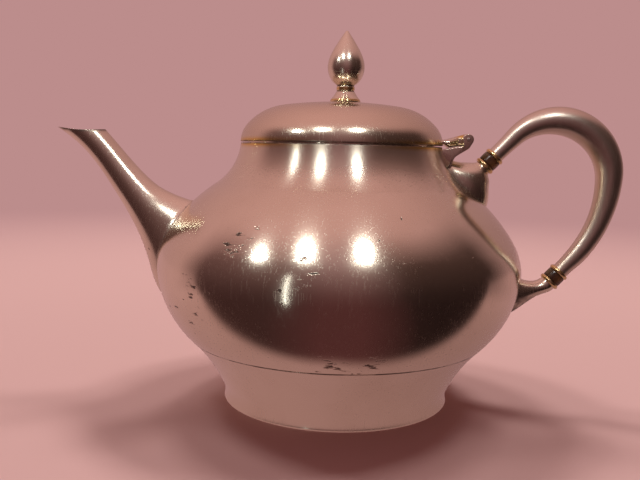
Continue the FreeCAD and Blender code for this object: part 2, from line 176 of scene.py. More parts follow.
# faces turned outwards by the sign of the enclosed volume, the sum of a . (b x c + c x d) over the quads
def outwardsFaces(points, quads):
    a, b, c, d = (points[quads[:, k]] for k in range(4))
    volume = (a * (np.cross(b, c) + np.cross(c, d))).sum()
    return quads if volume > 0 else quads[:, ::-1]


def linked(name, data):
    made = bpy.data.objects.new(name, data)
    bpy.context.scene.collection.objects.link(made)
    return made


# one object from one or more closed shells, in place of a CAD node, with point attributes such as wear
def piece(name, shells, finish, body, slot, node, **marks):
    points, quads, base = [], [], 0
    for shellPoints, shellQuads in shells:
        points.append(shellPoints)
        quads.append(outwardsFaces(shellPoints, shellQuads) + base)
        base += len(shellPoints)
    mesh = bpy.data.meshes.new(name)
    mesh.from_pydata(np.concatenate(points) * mm, [], np.concatenate(quads))
    for mark, values in marks.items():
        kind, field = ("FLOAT", "value") if values.ndim == 1 else ("FLOAT_VECTOR", "vector")
        mesh.attributes.new(mark, kind, "POINT").data.foreach_set(field, values.astype(np.float32).ravel())
    work = bmesh.new()
    work.from_mesh(mesh)
    bmesh.ops.remove_doubles(work, verts=work.verts, dist=1e-7)
    work.to_mesh(mesh)
    work.free()
    mesh.polygons.foreach_set("use_smooth", np.ones(len(mesh.polygons), bool))
    mesh.update()
    mesh.materials.append(finish)
    made = linked(name, mesh)
    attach(made, body)
    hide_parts(node)
    print(name, len(mesh.polygons), "faces")
    return made


# mark that is 1 at a place and falls off with the distance from it: exp(-(distance / width)^2)
def nearTo(distance, width):
    return np.exp(-(distance / width) ** 2)


# inside mark of a wall: 0 on its outer sheet and 1 on its inner one
def innerHalf(points):
    return np.repeat([0.0, 1.0], len(points) // 2)


# a node tree, with short names for the nodes used most. An input is a value to set or another socket to link.
class nodeGraph:
    def __init__(self, tree):
        self.tree = tree

    def fill(self, made, inputs):
        for key, value in inputs.items():
            if isinstance(value, bpy.types.NodeSocket):
                self.tree.links.new(value, made.inputs[key])
            else:
                made.inputs[key].default_value = value

    def node(self, kind, inputs=None, **settings):
        made = self.tree.nodes.new("ShaderNode" + kind)
        for key, value in settings.items():
            setattr(made, key, value)
        self.fill(made, inputs or {})
        return made

    def maths(self, operation, *values):
        return self.node("Math", dict(enumerate(values)), operation=operation).outputs[0]

    def times(self, a, b):
        return self.maths("MULTIPLY", a, b)

    # a * b + c
    def timesPlus(self, a, b, c):
        return self.maths("MULTIPLY_ADD", a, b, c)

    # value moved from one range to 0..1 and held there
    def ramped(self, value, low, high):
        inputs = {"Value": value, "From Min": low, "From Max": high}
        return self.node("MapRange", inputs, clamp=True).outputs[0]

    def noise(self, where, scale, detail=3.0, rough=0.5, output="Fac"):
        inputs = {"Vector": where, "Scale": scale, "Detail": detail, "Roughness": rough}
        return self.node("TexNoise", inputs).outputs[output]

    def stretched(self, where, scale, turn=(0.0, 0.0, 0.0)):
        return self.node("Mapping", {"Vector": where, "Rotation": turn, "Scale": scale}).outputs[0]

    def vectors(self, operation, *values):
        return self.node("VectorMath", dict(enumerate(values)), operation=operation).outputs[0]

    def mixed(self, share, a, b):
        return self.node("Mix", {"Factor": share, 6: a, 7: b}, data_type="RGBA").outputs[2]

    def marked(self, name, output="Fac"):
        return self.node("Attribute", attribute_name=name).outputs[output]

    def place(self, kind="Object"):
        return self.node("TexCoord").outputs[kind]

    def split(self, vector):
        return self.node("SeparateXYZ", {0: vector}).outputs

    def shown(self, shader):
        self.fill(self.tree.nodes["Material Output"], {0: shader.outputs[0]})


def startFinish(name):
    finish = bpy.data.materials.new(name)
    finish.use_nodes = True
    return finish, nodeGraph(finish.node_tree), finish.node_tree.nodes["Principled BSDF"]


bumpDepth = 0.0002  # metres for a bump height of 1


# worn polished plate. Hairlines are stretched noise cut to thin lines. Pits are scattered Voronoi cells with
# ragged edges, and blots of stretched noise where the wear mark is. Tarnish is slow noise. The dark colour
# goes on the pits and on the mark of grime and painted shade, broken by noise: grime in the joints, and
# painted shade in the lid's seam, at the spout's root and under the handle sockets. The base metal shows
# where the brass mark is, tea stain follows the inside mark, and the turned mark is rougher. Turning marks
# smear a highlight up and down.
def silverFinish(name, look):
    finish, g, shader = startFinish(name)
    where = g.place()
    wear, inside, grime, brass, turned = map(g.marked, ("wear", "inside", "grime", "brass", "turned"))
    patch = g.ramped(g.noise(where, look["patchScale"], 5.0, 0.55), 0.42, 0.72)
    hair = 0.0
    for turn in look["hairTurns"]:
        thread = g.noise(g.stretched(where, look["hairStretch"], turn), 1.0, 2.0, 0.6)
        hair = g.maths("MAXIMUM", g.ramped(thread, look["hairFrom"], look["hairFrom"] + 0.05), hair)
    x, y, z = g.split(where)
    around = g.times(g.maths("ARCTAN2", y, x), look["ringDrift"])
    lathe = g.node("CombineXYZ", {0: around, 1: z, 2: 0.0}).outputs[0]
    rings = g.noise(g.stretched(lathe, look["ringStretch"]), 1.0, 2.0, 0.6)
    streak = g.noise(g.marked("brushed", "Vector"), 2.2, 3.0, 0.6)
    ragged = g.vectors("ADD", g.noise(where, 900.0, 2.0, output="Color"), (-0.5, -0.5, -0.5))
    shaken = g.vectors("MULTIPLY_ADD", ragged, look["ragged"], where)
    cells = g.node("TexVoronoi", {"Vector": shaken, "Scale": look["pitScale"], "Randomness": 1.0}).outputs
    chance = g.node("SeparateColor", {0: cells["Color"]}).outputs
    zone = g.ramped(g.noise(where, 26.0), 0.45, 0.75)
    density = g.timesPlus(wear, look["wornPits"], g.times(zone, look["pits"]))
    some = g.maths("LESS_THAN", chance[0], density)
    size = g.timesPlus(g.maths("POWER", chance[1], 3.0), 0.4, 0.06)
    pit = g.times(g.ramped(g.maths("SUBTRACT", size, cells["Distance"]), 0.0, 0.1), some)
    cloudy = g.noise(g.stretched(where, look["blotStretch"]), 1.0, 6.0, 0.65)
    pit = g.maths("MAXIMUM", pit, g.ramped(g.timesPlus(wear, look["wornBlots"], cloudy), *look["blotCut"]))
    broken = g.timesPlus(g.ramped(g.noise(where, 130.0, 4.0, 0.6), 0.4, 0.56), 0.75, 0.25)
    # dark colour on the pits, and on the mark that is grime in joints and painted shade in the lid's seam, at
    # the spout's root and under the sockets
    dirtAndShade = g.maths("MAXIMUM", g.times(grime, broken), g.times(pit, 0.85))
    colour = g.mixed(g.times(patch, look["patchShare"]), look["plate"], look["tarnish"])
    colour = g.mixed(g.times(brass, g.ramped(g.noise(where, 300.0), 0.15, 0.4)), colour, look["brass"])
    colour = g.mixed(g.times(inside, look["stainShare"]), colour, look["stain"])
    colour = g.mixed(dirtAndShade, colour, look["dirtAndShade"])
    rough = g.timesPlus(patch, look["patchRough"], look["rough"])
    for part, mark in dict(hair=hair, streak=streak, dirtAndShade=dirtAndShade, inside=inside, turned=turned).items():
        rough = g.timesPlus(mark, look[part + "Rough"], rough)
    height = g.times(rings, look["ringDepth"])
    ripple = g.noise(where, 140.0, 2.0)
    for part, mark in dict(hair=hair, streak=streak, pit=pit, ripple=ripple).items():
        height = g.timesPlus(mark, look[part + "Depth"], height)
    bump = g.node("Bump", {"Height": height, "Strength": look["bump"], "Distance": bumpDepth})
    g.fill(shader, {
        "Base Color": colour, "Roughness": rough, "Normal": bump.outputs[0], "Metallic": 1.0,
        "Anisotropic": look["smear"], "Anisotropic Rotation": 0.25})
    return finish


turnedLook = dict(
    plate=(0.86, 0.81, 0.65, 1), tarnish=(0.62, 0.52, 0.38, 1), patchScale=22.0, patchShare=0.35,
    brass=(0.8, 0.56, 0.13, 1), stain=(0.3, 0.2, 0.12, 1), stainShare=0.75, dirtAndShade=(0.05, 0.03, 0.025, 1),
    hairTurns=((0.0, 1.5, 0.1), (0.2, 1.4, -0.2), (1.1, 0.4, 2.1)), hairStretch=(1500.0, 1500.0, 60.0),
    hairFrom=0.64, ringDrift=1.2, ringStretch=(1.0, 2600.0, 1.0), ragged=(0.0024, 0.0024, 0.0012),
    pitScale=480.0, pits=0.008, wornPits=0.1, wornBlots=0.2, blotStretch=(130.0, 130.0, 480.0),
    blotCut=(0.72, 0.78), rough=0.16, patchRough=0.06, hairRough=0.1, streakRough=0.0, dirtAndShadeRough=0.3,
    insideRough=0.12, turnedRough=0.12, ringDepth=0.04, hairDepth=-0.03, streakDepth=0.0, pitDepth=-1.0,
    rippleDepth=0.03, bump=0.35, smear=0.6)
castLook = dict(turnedLook, ringDepth=0.0, smear=0.0, rough=0.18, patchScale=40.0)
plateFinish = silverFinish("wornSilverPlate", turnedLook)
neckFinish = silverFinish("turnedNeck", dict(turnedLook, smear=0.95))
# painted shade: the lid's plate is a darker copy of the body's plate
lidFinish = silverFinish("shadedLidPlate", dict(turnedLook, plate=(0.79, 0.72, 0.56, 1), rough=0.2, smear=0.0))
castFinish = silverFinish("handledSilver", castLook)
spoutFinish = silverFinish("satinSpout", dict(castLook, rough=0.19, hairDepth=-0.005, rippleDepth=0.01))
# painted shade: the grip's plate is darker than the body's; the lengthwise streaks and roughness are its
# brushing
gripFinish = silverFinish("rubbedGripShadedPlate", dict(
    castLook, plate=(0.76, 0.69, 0.57, 1), rough=0.24, streakRough=0.16, streakDepth=0.08))
wireFinish = silverFinish("silverWire", dict(castLook, rough=0.2, patchScale=120.0))
pinFinish = silverFinish("filedPin", dict(castLook, plate=(0.66, 0.6, 0.53, 1), rough=0.32, patchScale=300.0))
brassFinish = silverFinish("dullBrass", dict(
    castLook, plate=(0.62, 0.47, 0.24, 1), tarnish=(0.36, 0.25, 0.13, 1), rough=0.34, patchScale=180.0))


# dark horn: slow amber clouds, fine fibres along the piece, and dirt at the ring's ends from the
# grime-and-shade mark
def hornFinish(name, look):
    finish, g, shader = startFinish(name)
    where = g.place()
    cloud = g.ramped(g.noise(where, 220.0, 4.0), 0.35, 0.7)
    grain = g.noise(g.stretched(where, look["fibreStretch"], (0, look["lean"], 0)), 1.0)
    colour = g.mixed(cloud, look["dark"], look["amber"])
    colour = g.mixed(g.times(g.ramped(grain, 0.5, 0.75), 0.4), colour, look["fibre"])
    colour = g.mixed(g.marked("grime"), colour, look["dirtAndShade"])
    bump = g.node("Bump", {"Height": grain, "Strength": 0.12, "Distance": bumpDepth})
    rough = g.timesPlus(grain, 0.16, 0.14)
    g.fill(shader, {"Base Color": colour, "Roughness": rough, "Normal": bump.outputs[0]})
    return finish


insulatorFinish = hornFinish("darkHorn", dict(
    dark=(0.055, 0.03, 0.014, 1), amber=(0.15, 0.085, 0.03, 1), fibre=(0.24, 0.15, 0.06, 1),
    dirtAndShade=(0.02, 0.012, 0.008, 1), fibreStretch=(300, 2600, 2600), lean=-0.8))
print("finishes made")


pot = dict(
    mouth=(45.0, 115.0), neckAngle=6.0, wall=1.0, columns=256,
    bellyTurns=((56.0, -25.0), (30.0, 72.0), (-8.0, 26.0), (-46.0, 48.0)), waistAngle=-24.0,
    edgeTurn=(17.0, -9.8), ease=(0.14, 0.16), footEase=(0.16, 0.3), strainer=(66.0, 12.0), neckFrom=97.0,
    neckFade=10.0, brassAt=114.2, seamGrime=0.25, rimGrimeAndShade=0.45)

bellyOuter = arcRun(pot["mouth"], pot["neckAngle"], pot["bellyTurns"])
bellyInner = arcRun(pot["mouth"], pot["neckAngle"], pot["bellyTurns"], pot["wall"])
seam, seamAngle = bellyOuter[-1], pot["bellyTurns"][-1][0]


def sineStep(a, b):
    return math.sin(math.radians(a)) - math.sin(math.radians(b))


edgeRise = -pot["edgeTurn"][1] * sineStep(pot["edgeTurn"][0], pot["waistAngle"])
waistRadius = (seam[1] - edgeRise) / sineStep(pot["waistAngle"], seamAngle)
footTurns = ((pot["waistAngle"], -waistRadius), pot["edgeTurn"])
footOuter = arcRun(seam, seamAngle, footTurns)
footInner = arcRun(seam, seamAngle, footTurns, pot["wall"])
potProfile = np.concatenate([bellyOuter, footOuter[1:]])


# radius of the pot's outside at a height
def potRadius(z):
    return np.interp(z, potProfile[::-1, 1], potProfile[::-1, 0])


# how far a point stands out from the pot's outside
def fromPot(points):
    return np.hypot(points[..., 0], points[..., 1]) - potRadius(points[..., 2])


dents = np.array([
    # bearing, height, size, depth
    (236.0, 66.0, 5.0, 0.10), (251.0, 70.0, 6.5, 0.08), (263.0, 55.0, 8.0, 0.07), (285.0, 74.0, 6.0, 0.06),
    (303.0, 58.0, 7.0, 0.08), (222.0, 50.0, 6.0, 0.09), (120.0, 62.0, 8.0, 0.10), (75.0, 70.0, 6.0, 0.08)])
wornPlaces = np.array([
    # bearing, height, size, strength
    (226.0, 61.0, 5.5, 0.9), (213.0, 47.5, 4.5, 0.9), (226.0, 45.0, 5.5, 0.8), (241.0, 76.0, 6.0, 1.0),
    (261.0, 68.0, 7.0, 0.85), (268.0, 34.5, 5.0, 0.9), (282.0, 35.0, 7.0, 0.9), (288.0, 76.0, 6.0, 0.35),
    (60.0, 66.0, 14.0, 0.5), (130.0, 50.0, 12.0, 0.5)])


# sum over the spots of amount * exp(-distance^2 / (2 size^2)), the distance taken over the pot's surface
def spotted(points, spots):
    bearing = np.arctan2(points[..., 1], points[..., 0])[..., None]
    radius = np.hypot(points[..., 0], points[..., 1])[..., None]
    apart = (bearing - np.radians(spots[:, 0]) + np.pi) % (2 * np.pi) - np.pi
    square = (apart * radius) ** 2 + (points[..., 2:] - spots[:, 1]) ** 2
    return (spots[:, 3] * np.exp(-square / (2 * spots[:, 2] ** 2))).sum(axis=-1)


# the wall moved in by the dents' depth
def bumped(sheet):
    share = 1 - spotted(sheet, dents) / np.hypot(sheet[..., 0], sheet[..., 1])
    return stacked(sheet[..., 0] * share, sheet[..., 1] * share, sheet[..., 2])


# plate worn through along an edge at a height, least at the front and back:
# exp(-((z - height) / 0.8)^2) * 2 cos(bearing)^2
def edgeBrass(points, height):
    sideways = points[:, 0] / np.maximum(np.hypot(points[:, 0], points[:, 1]), 0.1)
    return nearTo(points[:, 2] - height, 0.8) * np.clip(2 * sideways ** 2, 0, 1)


def potBody():
    outer, inner = easedWall(bellyOuter, bellyInner, *pot["ease"])
    outerSheet, innerSheet = bumped(spun(outer, pot["columns"])), bumped(spun(inner, pot["columns"]))
    middle = (outerSheet[:-1] + outerSheet[1:]) / 2
    middle = (middle + np.roll(middle, -1, axis=1)) / 2
    height, radius = pot["strainer"]
    through = (np.hypot(middle[..., 1], middle[..., 2] - height) < radius) & (middle[..., 0] < 0)
    points, quads = walled(outerSheet, innerSheet, ~through)
    z = points[:, 2]
    seamGrime = nearTo(z - seam[1], pot["seamGrime"])
    # darker at the mouth's rim under the lid: partly grime in the seam and partly painted shade of the gap
    rimGrimeAndShade = 0.85 * nearTo(z - pot["mouth"][1], pot["rimGrimeAndShade"])
    made = piece(
        "potBody", [(points, quads)], plateFinish, "pot", "silver_plate", "body_shell",
        wear=np.clip(spotted(points, wornPlaces), 0, 1), inside=innerHalf(points),
        grime=np.maximum(seamGrime, rimGrimeAndShade), brass=edgeBrass(points, pot["brassAt"]),
        turned=np.clip((z - pot["neckFrom"]) / pot["neckFade"], 0, 1))
    made.data.materials.append(neckFinish)
    centres = np.zeros(3 * len(made.data.polygons), np.float32)
    made.data.polygons.foreach_get("center", centres)
    onNeck = centres[2::3] > pot["neckFrom"] * mm
    made.data.polygons.foreach_set("material_index", onNeck.astype(np.int32))


def footSkirt():
    outer, inner = easedWall(footOuter, footInner, *pot["footEase"])
    outer[:, 1], inner[:, 1] = np.maximum(outer[:, 1], 0), np.maximum(inner[:, 1], 0)
    points, quads = walled(spun(outer, pot["columns"]), spun(inner, pot["columns"]))
    grime = nearTo(points[:, 2] - seam[1], pot["seamGrime"])
    piece("footSkirt", [(points, quads)], plateFinish, "pot", "silver_plate", "foot_skirt", grime=grime)


potBody()
footSkirt()


# the spout and the handle sockets are ovals between an upper and a lower outline

# section at a share of the way: middle + half * cos t in XZ and width * sin t along Y, less the shrink
def ovalAt(stations, share, turn, shrink=0.0):
    table = np.array([(*low, *high, wide) for low, high, wide in stations])
    centre = (table[:, :2] + table[:, 2:4]) / 2
    knots = chords(centre)
    row = splineThrough(knots / knots[-1], table, share)
    half = (row[..., 2:4] - row[..., :2]) / 2
    length = np.linalg.norm(half, axis=-1)
    scale = (length - shrink) / length
    x = (row[..., 0] + row[..., 2]) / 2 + half[..., 0] * scale * np.cos(turn)
    z = (row[..., 1] + row[..., 3]) / 2 + half[..., 1] * scale * np.cos(turn)
    return stacked(x, (row[..., 4] - shrink) * np.sin(turn), z)


# share at which a test turns from below zero to above it, by halving
def shareWhere(test, low, high):
    for _ in range(40):
        middle = (low + high) / 2
        before = test(middle) < 0
        low, high = np.where(before, middle, low), np.where(before, high, middle)
    return (low + high) / 2


# tube from the pot's surface to its end, with a fillet of solder that fades over its reach
def drawnTube(stations, turn, shrink, rows, lip=None, fillet=(0.0, 1.0), sink=0.5):
    def clear(share):
        return fromPot(ovalAt(stations, share, turn, shrink)) + sink

    def aboveLip(share):
        p = ovalAt(stations, share, turn, shrink)
        return p[..., 2] - np.polyval(lip, p[..., 0])

    # the search starts before the first section, which may stand clear of the pot at its sides
    first = shareWhere(clear, np.full_like(turn, -0.2), np.full_like(turn, 0.55))
    last = np.ones_like(turn)
    if lip is not None:
        last = shareWhere(aboveLip, np.full_like(turn, 0.7), last)
    share = first + (last - first) * np.linspace(0, 1, rows)[:, None] ** 1.25
    sheet = ovalAt(stations, share, turn + 0 * share, shrink)
    away = np.linalg.norm(sheet - sheet[:1], axis=-1, keepdims=True)
    middle = ovalAt(stations, share, turn + 0 * share, shrink + 1.0)
    swell = fillet[0] * np.clip(1 - away / fillet[1], 0, 1) ** 2
    return sheet + unit(sheet - middle) * swell


spoutShape = dict(
    stations=(
        ((-69.0, 36.0), (-59.0, 86.5), 14.5), ((-82.0, 46.0), (-68.5, 88.3), 13.6),
        ((-87.6, 61.5), (-77.8, 91.6), 11.0), ((-95.4, 79.5), (-85.6, 96.2), 8.6),
        ((-103.4, 92.6), (-92.8, 103.0), 7.1), ((-112.6, 105.8), (-101.2, 112.4), 6.3),
        ((-120.6, 114.0), (-105.8, 117.6), 6.2), ((-131.2, 121.6), (-110.2, 122.4), 6.2)),
    lip=((-136.0, 121.6), (-118.4, 119.1), (-100.0, 120.6)), wall=1.1, fillet=(0.8, 3.2), sink=0.9, edge=0.3,
    rows=150, columns=96)


def spoutTube():
    stations, rows, turn = spoutShape["stations"], spoutShape["rows"], turnsRound(spoutShape["columns"])
    lip = np.polyfit(*np.transpose(spoutShape["lip"]), 2)
    outer = drawnTube(stations, turn, 0.0, rows, lip, spoutShape["fillet"], spoutShape["sink"])
    inner = drawnTube(stations, turn, spoutShape["wall"], rows, lip)
    points, quads = walled(outer, inner)
    fromLip = np.polyval(lip, points[:, 0]) - points[:, 2]
    # darker at the root on the pot, partly grime in the joint and partly a painted shadow line, and darker
    # along the lip
    grime = np.maximum(0.55 * nearTo(fromPot(points), 0.6), 0.8 * nearTo(fromLip, 0.9))
    made = piece("spoutTube", [(points, quads)], spoutFinish, "pot", "silver_plate", "spout",
                 inside=innerHalf(points), grime=grime)
    bevel = made.modifiers.new("lipEdge", "BEVEL")
    bevel.width, bevel.segments = spoutShape["edge"] * mm, 2
    bevel.limit_method, bevel.angle_limit = "ANGLE", math.radians(50)


spoutTube()

# handle line: a straight run, the crown arc, the back arc and a straight run, as (x, z)
handle = dict(
    crownCentre=(95.5, 103.0), crownRadius=25.0, backCentre=(64.5, 103.0), backRadius=56.0, upperAngle=46.0,
    lowerAngle=47.0, upperRun=13.4, lowerRun=7.9, endRadius=3.7, endRuns=(0.0, 1.9, 3.2), wall=1.1,
    brushPitch=0.04, crownRadii=((0.0, 4.2), (0.3, 6.0), (0.5, 6.6), (0.75, 6.5), (1.0, 5.9)),
    backRadii=((0.5, 4.9), (1.0, 4.0)), rows=260, columns=64)
heatBreak = dict(
    radius=4.2, length=4.0, tenonRadius=2.4, tenonLength=6.0, edge=0.35, swell=0.06, grime=0.45, columns=72)
collarWire = dict(width=1.9, lap=0.05, corner=0.35, brass=0.6, columns=96, rows=20)
pole = 0.001  # radius of the first and last ring of a closed shape

upperAxis, lowerAxis = normalAt(handle["upperAngle"]), normalAt(handle["lowerAngle"])
crownStart = np.array(handle["crownCentre"]) + handle["crownRadius"] * normalAt(90 + handle["upperAngle"])
backEnd = np.array(handle["backCentre"]) + handle["backRadius"] * normalAt(handle["lowerAngle"] - 90)
upperEnd = crownStart - upperAxis * handle["upperRun"]
lowerEnd = backEnd - lowerAxis * handle["lowerRun"]
crownTurn, backTurn = math.radians(90 + handle["upperAngle"]), math.radians(90 - handle["lowerAngle"])
crownLength, backLength = handle["crownRadius"] * crownTurn, handle["backRadius"] * backTurn
handleLength = handle["upperRun"] + crownLength + backLength + handle["lowerRun"]


# point and direction of the handle line at a length along it
def handleLine(s):
    a = s - handle["upperRun"]
    b = a - crownLength
    c = b - backLength
    crownAngle = np.degrees(crownTurn - np.clip(a, 0, crownLength) / handle["crownRadius"])
    backAngle = -np.degrees(np.clip(b, 0, backLength) / handle["backRadius"])
    onUpper = upperEnd + s[:, None] * upperAxis
    onCrown = np.array(handle["crownCentre"]) + handle["crownRadius"] * normalAt(crownAngle)
    onBack = np.array(handle["backCentre"]) + handle["backRadius"] * normalAt(backAngle)
    onLower = backEnd - c[:, None] * lowerAxis
    before = [a < 0, b < 0, c < 0]
    place = np.select([run[:, None] for run in before], [onUpper, onCrown, onBack], onLower)
    angles = [handle["upperAngle"] + 0 * s, crownAngle - 90, backAngle - 90]
    return place, normalAt(np.select(before, angles, handle["lowerAngle"] + 180))


# tube along the handle line: middle + radius * (cos t * normal + sin t * Y), its radius a smooth curve
def handleGrip():
    backFrom = handle["upperRun"] + crownLength
    stations = [(run, handle["endRadius"]) for run in handle["endRuns"]]
    stations += [(handle["upperRun"] + share * crownLength, radius) for share, radius in handle["crownRadii"]]
    stations += [(backFrom + share * backLength, radius) for share, radius in handle["backRadii"]]
    stations += [(handleLength - run, handle["endRadius"]) for run in reversed(handle["endRuns"])]
    stations = np.array(stations)
    s = np.linspace(0, handleLength, handle["rows"])
    radius = splineThrough(stations[:, 0], stations[:, 1:], s)
    place, way = handleLine(s)
    t = turnsRound(handle["columns"])
    normal = stacked(-way[:, 1], 0 * s, way[:, 0])[:, None]
    spread = np.cos(t)[:, None] * normal + np.sin(t)[:, None] * np.array([0, 1.0, 0])
    line = stacked(place[:, 0], 0 * s, place[:, 1])[:, None]
    outer, inner = line + radius[:, None] * spread, line + (radius - handle["wall"])[:, None] * spread
    along = handle["brushPitch"] * s[:, None] + 0 * t
    brushed = stacked(radius * np.cos(t), radius * np.sin(t), along).reshape(-1, 3)
    piece("handleGrip", [walled(outer, inner)], gripFinish, "pot", "silver_plate", "handle_grip",
          brushed=np.concatenate([brushed, brushed]))


# ring with softened edges and a tenon each way, turned about the handle's axis
def insulatorRing(name, middle, axis, nodeName):
    half, edge, radius = heatBreak["length"] / 2, heatBreak["edge"], heatBreak["radius"]
    a = np.radians(np.linspace(0, 90, 6))
    right = stacked(radius - edge + edge * np.cos(a), half - edge + edge * np.sin(a))
    left = stacked(right[::-1, 0], -right[::-1, 1])
    swell = stacked(np.full(7, radius), np.linspace(-half + edge, half - edge, 9)[1:-1])
    swell[:, 0] += heatBreak["swell"] * np.cos(swell[:, 1] / half * np.pi / 2)
    far, tenon = half + heatBreak["tenonLength"], heatBreak["tenonRadius"]
    lowTenon = [(pole, -far), (tenon, -far), (tenon, -half)]
    highTenon = [(tenon, half), (tenon, far), (pole, far)]
    profile = np.concatenate([lowTenon, left, swell, right, highTenon])
    points, quads = closed(spunAbout(profile, middle, axis, heatBreak["columns"]))
    along = (points[:, [0, 2]] - middle) @ axis
    grime = 0.85 * np.clip((np.abs(along) - half + heatBreak["grime"]) / heatBreak["grime"], 0, 1)
    piece(name, [(points, quads)], insulatorFinish, "pot", "horn_insulator", nodeName, grime=grime)


# half-round wire: (tube + half * cos a, half + half * sin a) outside and a plain bore inside
def wireCollar(name, end, axis, nodeName):
    half, tube, corner = collarWire["width"] / 2, handle["endRadius"], collarWire["corner"]
    a = np.radians(np.linspace(-90, 90, collarWire["rows"]))
    outer = stacked(tube + half * np.cos(a), half + half * np.sin(a))
    inner = stacked(np.full_like(a, tube - collarWire["lap"]), half + half * np.sin(a))
    points, quads = walled(*(spunAbout(side, end, axis, collarWire["columns"]) for side in (outer, inner)))
    fromEnd = points - np.array([end[0], 0, end[1]])
    reach = np.sqrt((fromEnd ** 2).sum(axis=1) - (fromEnd[:, [0, 2]] @ axis) ** 2)
    grime = 0.8 * np.clip((tube + corner - reach) / corner, 0, 1)
    brass = np.full(len(points), collarWire["brass"])
    piece(name, [(points, quads)], wireFinish, "pot", "silver_wire", nodeName, grime=grime, brass=brass)


sockets = dict(
    upper=(((63.5, 86.0), (44.0, 111.5), 8.6), ((66.9, 91.4), (49.2, 109.5), 8.2),
           ((67.0, 97.0), (53.8, 108.6), 6.9), ((67.0, 100.6), (57.6, 108.5), 5.2)),
    lower=(((70.0, 34.0), (74.0, 60.5), 8.4), ((78.2, 39.4), (80.6, 57.6), 7.6),
           ((85.2, 44.4), (84.4, 56.0), 5.9), ((91.4, 48.6), (88.4, 55.3), 4.4)),
    end=((2.3, 3.7), (1.2, 3.64), (0.0, 3.7)), wall=1.2, fillet=(0.7, 4.0), sink=0.9, grimeBelow=52,
    grimeFade=5, rows=70, columns=80)


# trumpet mouth on the pot drawn down to the round end under the collar
def handleSocket(name, flare, end, axis, nodeName):
    side = np.array([-axis[1], axis[0]])
    side = side if side @ (np.array(flare[-1][1]) - flare[-1][0]) > 0 else -side
    stations = list(flare)
    for run, radius in sockets["end"]:
        here = end - axis * run
        stations.append((here - side * radius, here + side * radius, radius))
    turn = turnsRound(sockets["columns"])
    outer = drawnTube(stations, turn, 0.0, sockets["rows"], None, sockets["fillet"], sockets["sink"])
    inner = drawnTube(stations, turn, sockets["wall"], sockets["rows"])
    points, quads = walled(outer, inner)
    # painted shade: darker below a height, on the undersides of the sockets, and darker along the root on the
    # pot
    under = 0.75 * np.clip((sockets["grimeBelow"] - points[:, 2]) / sockets["grimeFade"], 0, 1)
    grime = np.maximum(0.4 * nearTo(fromPot(points), 0.4), under)
    piece(name, [(points, quads)], castFinish, "pot", "silver_plate", nodeName, grime=grime)


handleGrip()
ends = (("upper", upperEnd, upperAxis), ("lower", lowerEnd, lowerAxis))
seats = [(part, end - axis * heatBreak["length"], axis) for part, end, axis in ends]
for part, end, axis in ends:
    insulatorRing(part + "Insulator", end - axis * heatBreak["length"] / 2, axis, part + "_heat_break")
for part, end, axis in ends:
    wireCollar(part + "GripCollar", end, axis, part + "_grip_collar")
for part, seat, axis in seats:
    wireCollar(part + "SocketCollar", seat, -axis, part + "_socket_collar")
for part, seat, axis in seats:
    handleSocket(part + "Socket", sockets[part], seat, axis, part + "_handle_socket")
print("pot, spout and handle made")


lid = dict(
    edge=(45.2, 115.5), wall=1.0, sideTurns=((40.0, 12.0), (81.5, 25.0)), ease=0.14, vent=(-24.0, 1.2),
    ventRings=54, plainFrom=40.0, columns=192, brassAt=116.3)
lidSide = arcRun(lid["edge"], 0.0, lid["sideTurns"])
crownRadius = lidSide[-1][0] / math.cos(math.radians(lid["sideTurns"][-1][0]))
lidTurns = lid["sideTurns"] + ((90.0, crownRadius),)
lidOuter = arcRun(lid["edge"], 0.0, lidTurns)
lidInner = arcRun(lid["edge"], 0.0, lidTurns, lid["wall"])
crownHeight = lidOuter[-1][1]


def lidRadius(z):
    return np.interp(z, lidOuter[:, 1], lidOuter[:, 0])


# rings that start round the vent and open out to the lid's edge: centre and radius move together, and the
# height follows the profile
def lidSheet(profile, plain):
    ventX, ventRadius = lid["vent"]
    radius = np.linspace(ventRadius, lid["plainFrom"], lid["ventRings"])[:-1]
    centre = ventX * (lid["plainFrom"] - radius) / (lid["plainFrom"] - ventRadius)
    t = turnsRound(lid["columns"])
    x, y = centre[:, None] + radius[:, None] * np.cos(t), radius[:, None] * np.sin(t)
    z = np.interp(np.hypot(x, y), profile[::-1, 0], profile[::-1, 1])
    return np.concatenate([stacked(x, y, z), spun(plain, lid["columns"])])


# heights are above the lid's crown
finial = dict(
    x=1.2, bud=((3.6, 7.3), (5.5, 8.7), (8.2, 14.7), (4.7, 25.0), (0.45, 31.4)), tip=(0.45, 0.25), columns=96,
    spoolHollow=((6.75, 1.0), (5.3, 2.8), (4.1, 4.7)), spoolRim=(6.9, 0.9), rimRound=0.45, spoolFrom=-0.7,
    bead=(3.7, 4.9, 4.05, 7.3))


def lidDome():
    outer, inner = easedEnd(lidOuter, lidInner, lid["ease"]), easedEnd(lidInner, lidOuter, lid["ease"])
    count = int((lidOuter[:, 0] >= lid["plainFrom"]).sum()) + 4  # four points more from the softened end
    outerSheet = lidSheet(lidOuter, outer[:count][::-1])
    innerSheet = lidSheet(lidInner, inner[:count][::-1])
    points, quads = walled(outerSheet, innerSheet)
    fromSpool = np.hypot(points[:, 0] - finial["x"], points[:, 1]) - finial["spoolRim"][0]
    grime = 0.7 * np.clip(1 - fromSpool / 0.7, 0, 1) * (points[:, 2] > crownHeight - 0.6)
    # darker along the lid's edge at the seam: partly grime and partly painted shade of the gap
    grime = np.maximum(grime, 0.85 * nearTo(points[:, 2] - lid["edge"][1], 0.4))
    piece("lidDome", [(points, quads)], lidFinish, "lid", "silver_plate", "lid_dome",
          inside=innerHalf(points), grime=grime, brass=edgeBrass(points, lid["brassAt"]))


